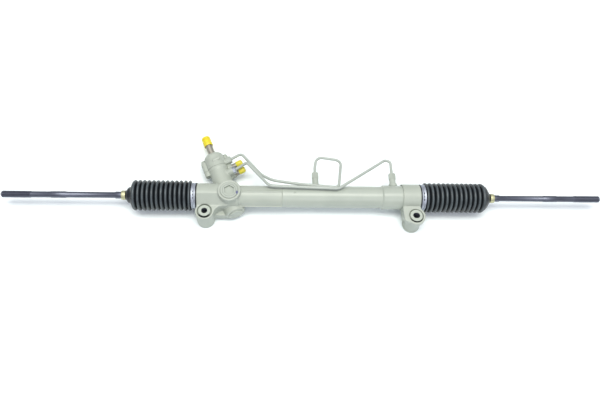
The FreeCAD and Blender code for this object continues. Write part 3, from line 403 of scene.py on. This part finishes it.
# Rubber of the mounting bushes where it shows: sprayed over, bare only on the side turned from the spray gun.
RUBBER_SPRAY = ("1c201e", 0.6, PAINT_SHADES, 0.42)
left_bush_skin = part_sprayed("oversprayed_left_bush_rubber", "Y", -9, -4.5, *RUBBER_SPRAY)
right_bush_skin = part_sprayed("oversprayed_right_bush_rubber", "Y", -18, -12.5, *RUBBER_SPRAY)
# Pressed steel sleeves: paint on the flange, and painted shade, a dark blue-grey, down the bolt hole.
SLEEVE_BORE_SHADE_AND_PAINT = ("4a4e5c", 0.4, FLANGE_SHADES, 0.34)
left_sleeve_skin = part_sprayed("left_bush_sleeve_steel", "Z", 46.0, 48.2, *SLEEVE_BORE_SHADE_AND_PAINT)
right_sleeve_skin = part_sprayed("right_bush_sleeve_steel", "Z", 49.0, 51.2, *SLEEVE_BORE_SHADE_AND_PAINT)
# Marking paint of the setter's mark on the yoke plug: a dull blue dab.
mark_paint = sprayed_paint("blue_marking_paint", "4b4e72", "5a5e84", 0.8, 0.01, 0.45, 0.6)

CAD_FINISH = {
    cast_paint: ("gear_housing", "valve_housing", "mount_bracket", "pinion_cap"),
    tube_paint: ("cylinder_tube", "tube_ports", "yoke_lock_nut", "yoke_plug", "valve_bolts",
                 "left_bush_sleeve", "right_bush_sleeve"),
    line_paint: ("line_left", "line_right"),
    zinc_plate: ("line_nuts", "feed_union", "return_union", "left_large_clamp", "right_large_clamp",
                 "left_small_clip", "right_small_clip"),
    ground_steel: ("rack_bar", "piston", "rack_yoke", "yoke_springs", "pinion_shaft", "valve_sleeve",
                   "torsion_bar", "input_shaft", "lower_bearing_inner", "lower_bearing_outer",
                   "lower_bearing_balls", "input_bearing"),
    black_steel: ("left_tie_rod", "right_tie_rod", "left_ball_socket", "right_ball_socket"),
    bronze: ("inner_rack_bush", "yoke_liner", "pinion_bush"),
    bellows_rubber: ("left_bellows", "right_bellows"),
    bush_rubber: ("left_bush_rubber", "right_bush_rubber", "inner_rack_seal", "outer_rack_seal",
                  "pinion_seal", "input_seal"),
    acetal: ("left_ball_seat", "right_ball_seat", "piston_seal", "rack_end_bush", "valve_rings"),
    yellow_vinyl: ("input_cap",),
    yellow_plug: ("feed_cap", "return_cap"),
}
for finish, names in CAD_FINISH.items():
    for name in names:
        nodes[name].data.materials.clear()
        nodes[name].data.materials.append(finish)

# Modelling helpers


def pick_only(piece):
    """Leaves one piece selected and active, as an operator needs it."""
    bpy.ops.object.select_all(action="DESELECT")
    piece.select_set(True)
    bpy.context.view_layer.objects.active = piece


def settle(piece, name, finish, body, replaced=(), smooth=35):
    """Names a finished piece, gives it its finish and hangs it on its moving body, if it has one body."""
    pick_only(piece)
    piece.name = name
    piece.data.name = name
    bpy.ops.object.transform_apply(location=True, rotation=True, scale=True)
    bpy.ops.object.shade_smooth_by_angle(angle=math.radians(smooth))
    piece.data.materials.clear()
    piece.data.materials.append(finish)
    for node in replaced:
        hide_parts(node)
    if body:
        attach(piece, body)


def turned(stations, place, way, around=64):
    """A lathe-turned skin through (distance, radius) stations in mm; a ring ends on its first station."""
    distance, radius = stations[0]
    turn = way.to_track_quat("Z", "Y").to_euler()
    bpy.ops.object.select_all(action="DESELECT")
    bpy.ops.mesh.primitive_circle_add(vertices=around, radius=radius * MM, fill_type="NOTHING",
                                      location=place + way * (distance * MM), rotation=turn)
    piece = bpy.context.object
    bpy.ops.object.mode_set(mode="EDIT")
    bpy.ops.mesh.select_all(action="SELECT")
    for next_distance, next_radius in stations[1:]:
        step = way * ((next_distance - distance) * MM)
        bpy.ops.mesh.extrude_edges_move(TRANSFORM_OT_translate={"value": step})
        ratio = next_radius / radius
        middle = place + way * (next_distance * MM)
        bpy.ops.transform.resize(value=(ratio, ratio, ratio), center_override=middle)
        distance, radius = next_distance, next_radius
    bpy.ops.mesh.select_all(action="SELECT")
    bpy.ops.mesh.remove_doubles(threshold=SKIN_WELD)
    bpy.ops.mesh.fill_holes(sides=0)
    bpy.ops.mesh.normals_make_consistent(inside=False)
    bpy.ops.object.mode_set(mode="OBJECT")
    return piece


def carve(piece, tool, way="DIFFERENCE"):
    """Cuts a tool out of a piece, or keeps what they share."""
    pick_only(piece)
    change = piece.modifiers.new("carve", "BOOLEAN")
    change.object = tool
    change.operation = way
    change.solver = "EXACT"
    bpy.ops.object.modifier_apply(modifier=change.name)
    bpy.data.objects.remove(tool)
    return piece


def hex_bar(flats, length, place, way):
    """A plain hexagon bar by its width across flats and its length, in mm."""
    turn = way.to_track_quat("Z", "Y").to_euler()
    bpy.ops.mesh.primitive_cylinder_add(vertices=6, radius=flats / math.sqrt(3) * MM, depth=length * MM,
                                        location=place + way * (length / 2 * MM), rotation=turn)
    return bpy.context.object


def cast_piece(node, voxel_mm, rounds):
    """A casting: a copy of the node's shape with its sharp edges melted to the soft radii of a mould."""
    piece = nodes[node].copy()
    piece.data = nodes[node].data.copy()
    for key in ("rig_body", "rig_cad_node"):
        if key in piece:
            del piece[key]
    bpy.context.scene.collection.objects.link(piece)
    world = nodes[node].matrix_world.copy()
    piece.parent = None
    piece.matrix_world = world
    pick_only(piece)
    bpy.ops.object.mode_set(mode="EDIT")
    bpy.ops.mesh.select_all(action="SELECT")
    bpy.ops.mesh.remove_doubles(threshold=CAD_WELD)
    bpy.ops.mesh.normals_make_consistent(inside=False)
    bpy.ops.object.mode_set(mode="OBJECT")
    skin = piece.modifiers.new("skin", "REMESH")
    skin.mode = "VOXEL"
    skin.voxel_size = voxel_mm * MM
    soften = piece.modifiers.new("soften", "SMOOTH")
    soften.factor = 0.5
    soften.iterations = rounds
    for change in ("skin", "soften"):
        bpy.ops.object.modifier_apply(modifier=change)
    return piece


# Castings and port bosses

for node, name, voxel_mm, rounds, paint in (
    ("gear_housing", "gear_housing_casting", 1.15, 2, cast_paint),
    ("valve_housing", "valve_housing_casting", 0.65, 2, cast_paint),
    ("mount_bracket", "mount_bracket_casting", 0.9, 3, cast_paint),
    ("tube_ports", "tube_port_bosses", 0.5, 2, tube_paint),
):
    settle(cast_piece(node, voxel_mm, rounds), name, paint, "housing", [node], 60)

# Cylinder tube: thinner on the left, thicker where the bracket holds it, staked once by the housing neck

bore, skin, thick_end, bracket_seat = 20.3, 22.8, 25.3, 25
tube = turned([
    (0, bore), (0, 21.9), (0.9, skin), (208.5, skin), (211.5, thick_end), (288.7, thick_end),
    (289, bracket_seat), (301.5, bracket_seat), (301.5, bore), (0, bore)], at(-60, 0, 0), RIGHT, 96)
punch, stake_place = 2.6, at(-34, -1.5, 24)
bpy.ops.object.select_all(action="DESELECT")
bpy.ops.mesh.primitive_uv_sphere_add(segments=24, ring_count=12, radius=punch * MM, location=stake_place)
tube = carve(tube, bpy.context.object)
settle(tube, "cylinder_tube_drawn", tube_paint, "housing", ["cylinder_tube"])

# Parting ribs of the housing neck

rib_length, rib_depth, rib_width, rib_out, rib_middle = 86.6, 3.6, 2.2, 22.2, -103.6
for name, across, rise in (("top", 0, 1), ("low", 0, -1), ("front", -1, 0), ("rear", 1, 0)):
    wide, tall = (rib_depth, rib_width) if across else (rib_width, rib_depth)
    bpy.ops.object.select_all(action="DESELECT")
    bpy.ops.mesh.primitive_cube_add(size=1, location=at(rib_middle, across * rib_out, rise * rib_out),
                                    scale=(rib_length * MM, wide * MM, tall * MM))
    rib = bpy.context.object
    pick_only(rib)
    bpy.ops.object.transform_apply(location=False, rotation=False, scale=True)
    edge = rib.modifiers.new("rounded", "BEVEL")
    edge.width = 0.6 * MM
    edge.segments = 3
    bpy.ops.object.modifier_apply(modifier=edge.name)
    settle(rib, "neck_rib_" + name, cast_paint, "housing")

# Mounting bushes


def mounting_bush(side, place, top, flange, slot_reach, rubber_skin, sleeve_skin):
    """A rubber ring round a flanged steel sleeve; a slot reach makes the bolt hole long."""
    bolt_hole, sleeve_wall, barrel_bore = 6.15, 9.5, 15
    rubber = turned([
        (3, sleeve_wall), (3, barrel_bore), (top - 5, barrel_bore), (top - 4.4, 14.4), (top - 0.5, 11.8),
        (top + 0.8, flange - 0.8), (top + 0.8, sleeve_wall), (3, sleeve_wall)], place, UP)
    settle(rubber, side + "_bush_rubber_bonded", rubber_skin, "housing", [side + "_bush_rubber"])
    sleeve = turned([
        (0, sleeve_wall), (top + 0.8, sleeve_wall), (top + 0.8, flange - 0.1), (top + 1.1, flange),
        (top + 1.5, flange - 0.5)], place, UP)
    bpy.ops.mesh.primitive_cylinder_add(vertices=64, radius=bolt_hole * MM, depth=0.08,
                                        location=place + UP * 0.025)
    hole = bpy.context.object
    bpy.ops.object.mode_set(mode="EDIT")
    for way in (-1, 1):
        bpy.ops.mesh.select_all(action="DESELECT")
        mesh = bmesh.from_edit_mesh(hole.data)
        for corner in mesh.verts:
            corner.select = corner.co.x * way > 0.0001
        mesh.select_flush(True)
        bpy.ops.transform.translate(value=(way * slot_reach * MM, 0, 0))
    bpy.ops.object.mode_set(mode="OBJECT")
    sleeve = carve(sleeve, hole)
    settle(sleeve, side + "_bush_sleeve_pressed", sleeve_skin, "housing", [side + "_bush_sleeve"])


mounting_bush("left", Vector((0, 0, 0)), 47.5, 12.0, 0.0, left_bush_skin, left_sleeve_skin)
right_bolt = Vector((BOLT_SPACING, -0.009, 0))
mounting_bush("right", right_bolt, 50.5, 12.8, 1.1, right_bush_skin, right_sleeve_skin)

# Yoke plug with its hexagon recess, lock ring and the setter's paint mark

yoke_place = at(PINION_X, 0, 0)
plug = turned([(23.5, 14.9), (25.4, 14.9), (25.6, 13.7), (28.6, 13.7), (29.3, 13.1)], yoke_place, UP)
key_flats, recess_floor = 19.6, 24.6
recess = hex_bar(key_flats, 8, yoke_place + UP * recess_floor * MM, UP)
settle(carve(plug, recess), "yoke_plug_screwed", tube_paint, "housing", ["yoke_plug"])
ring = turned([
    (25.7, 13.9), (29.0, 13.9), (29.2, 14.1), (29.2, 17.4), (28.8, 17.9), (25.7, 17.9), (25.7, 13.9)],
    yoke_place, UP)
settle(ring, "yoke_lock_ring", tube_paint, "housing", ["yoke_lock_nut"])
mark_place = yoke_place + Vector((15.8, -4.8, 0)) * MM
mark = turned([(28.9, 2.1), (29.26, 2.0), (29.36, 1.4)], mark_place, UP, 24)
pick_only(mark)
bpy.ops.transform.resize(value=(1, 1.85, 1), center_override=mark_place)
settle(mark, "setters_paint_mark", mark_paint, "housing")

# Input shaft and its cap, hose unions and their caps, bottom cap

spring_bore, stub, valve_land = 3.2, 7.5, 9.6
shaft = turned([
    (42, spring_bore), (42, 6.9), (53, 6.9), (53, valve_land), (96, valve_land), (96, stub), (149.4, stub),
    (150, 6.9), (150, spring_bore), (42, spring_bore)], tower(0, 0, 0), TOWER_WAY)
settle(shaft, "input_shaft_turned", turned_steel, "input", ["input_shaft"])
cap = turned([
    (15, stub), (3, stub), (1, 8.4), (0, 8.5), (0, 9.1), (0.5, 9.35), (20.6, 9.55), (21.7, 9.1), (22.3, 8.2),
    (22.5, 6.8)], tower(136, 0, 0), TOWER_WAY)
settle(cap, "input_cap_dipped", yellow_vinyl, "input", ["input_cap"])
oil_bore, hose_seat, union_length = 3.5, 5.9, 18
for name in ("feed", "return"):
    union = turned([
        (0, oil_bore), (17.6, oil_bore), (union_length, 3.9), (union_length, 5.5), (17.6, hose_seat),
        (0, hose_seat), (0, oil_bore)], port_point(name, UNION_FACE), PORT_WAY, 48)
    settle(union, name + "_union_turned", turned_steel, "housing", [name + "_union"])
    hose_cap = turned([
        (8.2, hose_seat), (1, hose_seat), (0, 6.3), (0, 6.8), (0.4, 7.0), (10.4, 6.7), (12.0, 6.1),
        (13.1, 4.8), (13.5, 3.2)], port_point(name, UNION_FACE + 9.8), PORT_WAY, 48)
    settle(hose_cap, name + "_cap_moulded", yellow_plug, "housing", [name + "_cap"])
bottom = turned([
    (7.6, 13.4), (0, 13.4), (0, 15.2), (-1.6, 15.2), (-2.4, 14.4), (-2.6, 13.4), (-2.6, 11.6), (-2.2, 11.0)],
    tower(-36, 0, 0), TOWER_WAY)
settle(bottom, "pinion_cap_pressed", cast_paint, "housing", ["pinion_cap"])

# Cylinder lines and their nuts


def bent_pipe(name, node, corners, bends):
    """A 6 mm line swept through its corners with a true arc of the given radius, in mm, at each bend."""
    line_radius, arc_steps = 3, 8
    route = [corners[0]]
    for number, bend in enumerate(bends, start=1):
        corner = corners[number]
        back = (corners[number - 1] - corner).normalized()
        ahead = (corners[number + 1] - corner).normalized()
        half = back.angle(ahead) / 2
        centre = corner + (back + ahead).normalized() * (bend * MM / math.sin(half))
        first = (corner + back * (bend * MM / math.tan(half)) - centre).normalized()
        last = (corner + ahead * (bend * MM / math.tan(half)) - centre).normalized()
        for step in range(arc_steps + 1):
            route.append(centre + first.slerp(last, step / arc_steps) * (bend * MM))
    route.append(corners[-1])
    path = bpy.data.curves.new(name, "CURVE")
    path.dimensions = "3D"
    path.bevel_depth = line_radius * MM
    path.bevel_resolution = 5
    path.use_fill_caps = True
    line = path.splines.new("POLY")
    line.points.add(len(route) - 1)
    for point, place in zip(line.points, route):
        point.co = (*place, 1)
    pipe = bpy.data.objects.new(name, path)
    bpy.context.scene.collection.objects.link(pipe)
    pick_only(pipe)
    bpy.ops.object.convert(target="MESH")
    settle(bpy.context.object, name, line_paint, "housing", [node], 50)


bent_pipe("line_left_bent", "line_left", [
    port_point("valve_line", LINE_FACE + 2), port_point("valve_line", LINE_FACE + 30.5), at(-102.5, 45, 10),
    at(-80.7, 28.6, 18), at(-23, 18.2, 22), at(57, 10, 25), at(68.5, 84, 6), at(15, 92, 6),
    at(PORT_LEFT, 65, 6), at(PORT_LEFT, 48, 6)], [10, 50, 50, 70, 10, 14, 14, 20])
bent_pipe("line_right_bent", "line_right", [
    port_point("tower_line", LINE_FACE + 2), port_point("tower_line", LINE_FACE + 16.5), at(-133.6, 72, 14),
    at(-102.4, 31.3, 24), at(-87, 10, 30.5), at(56, 5, 30.5), at(164, 86, 6), at(PORT_RIGHT, 83, 6),
    at(PORT_RIGHT, 48, 6)], [20, 7, 40, 18, 18, 8, 8])

nut_flats, nut_length, short_nut = 13.5, 14.5, 12
nut = hex_bar(nut_flats, nut_length, Vector((0, 0, 0)), UP)
chamfer = turned([(0, 7.0), (0.9, 7.9), (12.6, 7.9), (nut_length, 5.2)], Vector((0, 0, 0)), UP, 48)
nut = carve(nut, chamfer, "INTERSECT")
for name, place, way, length, paint in (
    ("valve", port_point("valve_line", LINE_FACE), PORT_WAY, short_nut, tube_paint),
    ("tower", port_point("tower_line", LINE_FACE), PORT_WAY, short_nut, zinc_plate),
    ("chamber_left", at(PORT_LEFT, 46, 6), REAR, nut_length, tube_paint),
    ("chamber_right", at(PORT_RIGHT, 46, 6), REAR, nut_length, tube_paint),
):
    copy = nut.copy()
    copy.data = nut.data.copy()
    bpy.context.scene.collection.objects.link(copy)
    copy.matrix_world = (Matrix.Translation(place) @ way.to_track_quat("Z", "Y").to_matrix().to_4x4()
                         @ Matrix.Diagonal((1, 1, length / nut_length, 1)))
    settle(copy, "line_nut_" + name, paint, "housing", ["line_nuts"], 30)
bpy.data.objects.remove(nut)

# Bellows, clamps and tie rods


def bellows_stations(side):
    """Outer stations of a bellows with round crests and tight valleys, the end of its folds, and its ball."""
    crest, valley, neck, count = 31.4, 25.4, 8.65, 13
    if side == "left":
        cuff, ball, band = LEFT_FACE, BALL_LEFT, 25.7
        first, last = cuff + 14.4, ball + 22.2
        tail = [(26.5, 28.4), (29, 21.5), (31, 17.8), (33.5, 16.6), (36, 15.7), (38, 13.4), (39.5, 11)]
    else:
        cuff, ball, band = RIGHT_FACE, BALL_RIGHT, 27.2
        first, last = cuff + 14.4, ball + 19.6
        tail = [(22, 30.6), (25, 28.4), (28.5, 25.6), (31.5, 22.4), (34, 18.6), (36, 15.6), (39.3, 10.6)]
    tail += [(41.8, neck), (50, neck)]
    pitch = (last - first) / (count - 1)
    outer = [(cuff, band + 0.4), (cuff + 0.3, band + 0.9), (cuff + 2.1, band + 0.9), (cuff + 2.3, band),
             (cuff + 11.2, band), (cuff + 12.2, band + 1.6), (cuff + 13.2, crest - 1.4)]
    for number in range(count):
        middle = first + number * pitch
        start = -30 if number == 0 else -70
        end = 50 if number == count - 1 else 90
        for angle in range(start, end, 20):
            swell = math.cos(math.radians(angle)) ** 0.75
            outer.append((middle + angle / 180 * pitch, valley + (crest - valley) * swell))
        if number < count - 1:
            outer.append((middle + pitch / 2, valley))
    outer += [(ball + distance, radius) for distance, radius in tail]
    folds_end = last - pitch * (1.5 if side == "left" else 0.5)
    return outer, folds_end, ball


def radius_at(stations, wanted):
    """The radius of a turned outline at one distance."""
    for (start, first), (end, last) in zip(stations, stations[1:]):
        if start <= wanted <= end:
            return first + (last - first) * (wanted - start) / (end - start)


def bellows(side, way):
    """One bellows turned in three lengths: the folds, a shoulder and a neck."""
    wall, rod_bore, cuff_length, hair = 1.7, 6.6, 13, 0.01
    outer, folds_end, ball = bellows_stations(side)
    face, mouth = (LEFT_FACE, 24.05) if side == "left" else (RIGHT_FACE, 25.05)
    shoulder_end = ball + (30 if side == "left" else 31.5)
    parts = [[s for s in outer if s[0] <= folds_end + hair],
             [s for s in outer if folds_end - hair <= s[0] <= shoulder_end + hair],
             [s for s in outer if s[0] >= shoulder_end - hair]]
    for number, split in enumerate((folds_end, shoulder_end)):
        if abs(parts[number][-1][0] - split) > hair:
            parts[number].append((split, radius_at(outer, split)))
        if abs(parts[number + 1][0][0] - split) > hair:
            parts[number + 1].insert(0, (split, radius_at(outer, split)))
    for number, length in enumerate(("folds", "shoulder", "neck")):
        stations = parts[number]
        inner = [(x, max(r - wall, rod_bore)) for x, r in stations]
        if length == "folds":
            inner = [(x, max(mouth, r - wall) if x > face + cuff_length else mouth) for x, r in stations]
        loop = stations + inner[::-1] + stations[:1]
        piece = turned(loop, at(0, 0, 0), way, 96)
        settle(piece, side + "_bellows_" + length, bellows_rubber, None, [side + "_bellows"], 50)
        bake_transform(piece)


def large_clamp(side, start, band, way):
    """A rolled band clamp with two raised rims and three crimp windows that face the mounting side."""
    rim, edge, groove = band + 0.9, band + 0.5, band + 0.3
    width, middle = 8.6, 4.3
    clamp = turned([
        (0, band), (0, edge), (0.4, rim), (2.6, rim), (3.2, edge), (middle, groove), (5.4, edge), (6, rim),
        (8.2, rim), (width, edge), (width, band), (0, band)], at(start, 0, 0), way, 96)
    for angle in (6, 20, 34):
        lean = math.radians(angle)
        out = Vector((0, -math.sin(lean), math.cos(lean)))
        spot = at(start, 0, 0) + way * (middle * MM) + out * ((band + 0.6) * MM)
        bpy.ops.object.select_all(action="DESELECT")
        bpy.ops.mesh.primitive_cube_add(size=1, location=spot, rotation=(lean, 0, 0),
                                        scale=(1.7 * MM, 4.2 * MM, 2.6 * MM))
        clamp = carve(clamp, bpy.context.object)
    settle(clamp, side + "_large_clamp_rolled", zinc_plate, "housing", [side + "_large_clamp"])


def tie_rod(side, ball, way):
    """A forged rod with its ball, neck, wrench land and thread, drawn as rings, and the bellows' clip."""
    ball_radius, thread_start, thread_pitch, thread_crest, thread_root = 12.5, 230, 1.5, 7.0, 6.25
    stations = []
    for angle in range(178, 26, -8):
        turn = math.radians(angle)
        stations.append((ball_radius * math.cos(turn), ball_radius * math.sin(turn)))
    stations += [(11.3, 5.5), (34, 5.5), (38, 6.5), (50.3, 6.5), (50.6, 7.2), (61.8, 7.2), (63.5, 6.1),
                 (160, 6.1), (161, 6.8), (190, 6.8), (191, 6.3), (229.3, 6.3)]
    for ring in range(36):
        start = thread_start + thread_pitch * ring
        stations += [(start, thread_crest), (start + thread_pitch / 2, thread_root)]
    stations += [(284.3, thread_crest), (287, 4.5)]
    rod = turned(stations, at(ball, 0, 0), way, 40)
    settle(rod, side + "_tie_rod_forged", black_steel, side + "_rod", [side + "_tie_rod"], 40)
    clip = turned([(42, 8.7), (42, 9.3), (42.8, 9.6), (49.2, 9.6), (50, 9.3), (50, 8.7), (42, 8.7)],
                  at(ball, 0, 0), way, 48)
    settle(clip, side + "_small_clip_sprung", yellow_zinc, side + "_clip", [side + "_small_clip"])


for side, outward, face, ball, band in (
    ("left", -1, LEFT_FACE, BALL_LEFT, 25.8),
    ("right", 1, RIGHT_FACE, BALL_RIGHT, 27.3),
):
    way = RIGHT * outward
    bellows(side, way)
    large_clamp(side, outward * (face + 2.4), band, way)
    tie_rod(side, outward * ball, way)


# Table top, lamps and surroundings


def pale_table():
    """A dull, cold white laminate under the gear; it renders white where the gear's shadow ends."""
    bpy.ops.mesh.primitive_plane_add(size=12, location=(MIDDLE_X, RACK_Y, -0.0002))
    table = bpy.context.object
    table.name = "table_top"
    material, tree = start_material("pale_laminate")[:2]
    surface = add(tree, "ShaderNodeBsdfPrincipled", {
        "Base Color": linear("f3f9fa"),
        "Roughness": 0.6,
        "Specular IOR Level": 0.2,
    })
    close_material(tree, surface)
    table.data.materials.append(material)


def soft_lamp(name, place, aim, width, height, watts, colour):
    """A soft box of one size in metres that looks from its place to its aim."""
    data = bpy.data.lights.new(name, "AREA")
    data.shape = "RECTANGLE"
    data.size, data.size_y = width, height
    data.energy = watts
    data.color = linear(colour)[:3]
    lamp = bpy.data.objects.new(name, data)
    bpy.context.scene.collection.objects.link(lamp)
    lamp.location = place
    lamp.rotation_euler = (aim - place).to_track_quat("-Z", "Y").to_euler()


def surroundings():
    """A plain bright room: white to the camera, and to the part a bright ceiling over darker walls."""
    world = bpy.data.worlds.new("studio")
    bpy.context.scene.world = world
    world.use_nodes = True
    tree = world.node_tree
    tree.nodes.clear()
    path = add(tree, "ShaderNodeLightPath", {})
    direction = add(tree, "ShaderNodeTexCoord", {}).outputs["Generated"]
    rise = add(tree, "ShaderNodeSeparateXYZ", {"Vector": direction}).outputs["Z"]
    ceiling = add(tree, "ShaderNodeMapRange", {
        "Value": rise,
        "From Min": 0.05,
        "From Max": 0.75,
        "To Min": 0.12,
        "To Max": 0.98,
    })
    strength = add(tree, "ShaderNodeMapRange", {
        "Value": path.outputs["Is Camera Ray"],
        "To Min": ceiling.outputs["Result"],
        "To Max": 1.0,
    })
    room = add(tree, "ShaderNodeBackground", {
        "Color": linear("f1f3fb"),
        "Strength": strength.outputs["Result"],
    })
    add(tree, "ShaderNodeOutputWorld", {"Surface": room.outputs[0]})


pale_table()
surroundings()
middle = at(0, 0, 0)
over_gear = middle + Vector((-0.1, -0.02, 0))
soft_lamp("overhead", middle + Vector((-0.1, -0.02, 2.0)), over_gear, 1.8, 0.8, 37, "fffff5")
soft_lamp("front_fill", middle + Vector((0.3, -1.6, 1.4)), middle, 1.6, 0.8, 8, "f4f6ff")

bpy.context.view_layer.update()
scene_view = bpy.context.scene.view_settings
scene_view.view_transform = "Standard"
